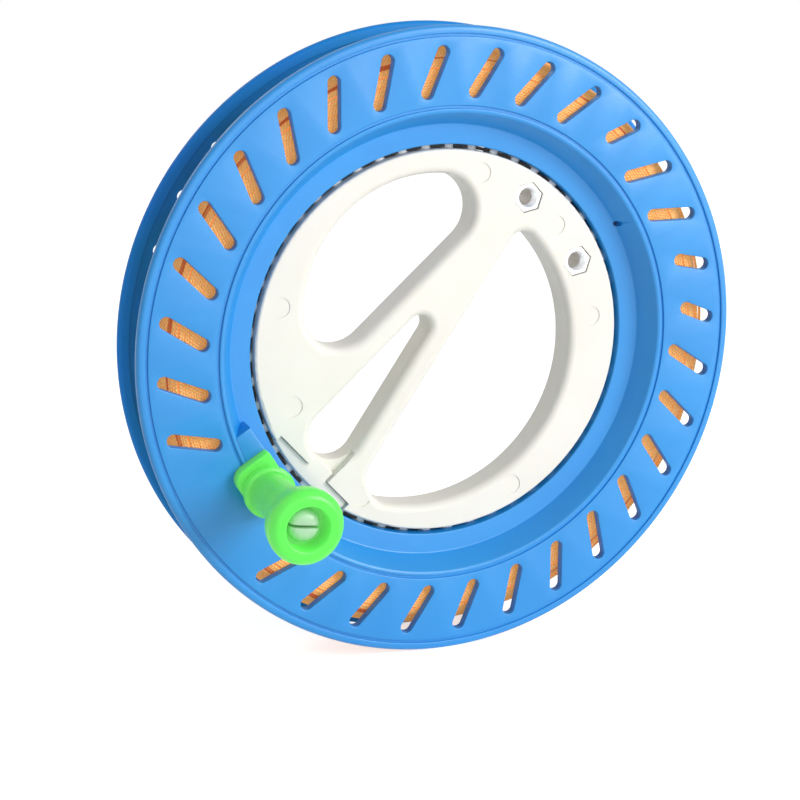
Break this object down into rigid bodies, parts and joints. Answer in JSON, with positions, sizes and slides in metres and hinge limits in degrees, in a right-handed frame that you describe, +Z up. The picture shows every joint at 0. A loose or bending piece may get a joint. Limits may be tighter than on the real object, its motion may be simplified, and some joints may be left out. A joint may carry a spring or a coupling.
{
  "type": "kite line winder",
  "caption": "Hand-held kite line winder: slotted flanged spool with wound line, turning on a ring of balls around a fixed hand grip, with a turning knob and slide lock.",
  "frame": {"origin": "centre of the spool's axis, in the middle of its width, inside the hand grip", "axes": "+Y along the spool's axis towards its rear flange, +X to the right seen from the knob side, +Z up"},
  "size_m": [0.18, 0.0641, 0.18],
  "materials": {
    "grip_plastic": "satin moulded white plastic",
    "spool_plastic": "satin moulded sky-blue plastic",
    "knob_plastic": "glossy moulded bright green plastic",
    "post_plastic": "translucent white moulded plastic",
    "ball_plastic": "polished white balls",
    "cage_plastic": "black moulded plastic",
    "kite_line": "orange twisted line with red-brown stretches",
    "nut_steel": "bright zinc-plated steel",
    "steel": "plain zinc-plated steel"
  },
  "bodies": {
    "grip": {"grip_front_shell": "grip_plastic", "grip_rear_shell": "grip_plastic", "grip_screws": "steel", "grip_nuts": "nut_steel", "lock_spring": "steel"},
    "lock": {"lock_slider": "grip_plastic"},
    "ball_set": {"bearing_balls": "ball_plastic", "ball_cage": "cage_plastic"},
    "spool": {"spool_front_half": "spool_plastic", "spool_rear_half": "spool_plastic", "spool_screws": "steel", "line_winding": "kite_line", "line_knot": "kite_line", "knob_base": "knob_plastic", "knob_post": "post_plastic", "knob_post_screw": "steel", "knob_washer": "post_plastic"},
    "knob": {"knob_grip": "knob_plastic"}
  },
  "joints": [
    {"name": "spool_spin", "type": "hinge", "parent": "grip", "child": "spool", "pos_m": [0, 0, 0], "axis": [0, 1, 0], "continuous": true},
    {"name": "ball_orbit", "type": "hinge", "parent": "grip", "child": "ball_set", "pos_m": [0, 0, 0], "axis": [0, 1, 0], "continuous": true},
    {"name": "knob_spin", "type": "hinge", "parent": "spool", "child": "knob", "pos_m": [-0.05567, -0.034, -0.03432], "axis": [0, 1, 0], "continuous": true},
    {"name": "lock_slide", "type": "slide", "parent": "grip", "child": "lock", "axis": [-0.749, 0, -0.6626], "range_m": [0, 0.0012]}
  ],
  "couplings": [
    {"joint": "ball_orbit", "follows": "spool_spin", "ratio": 0.52005}
  ]
}
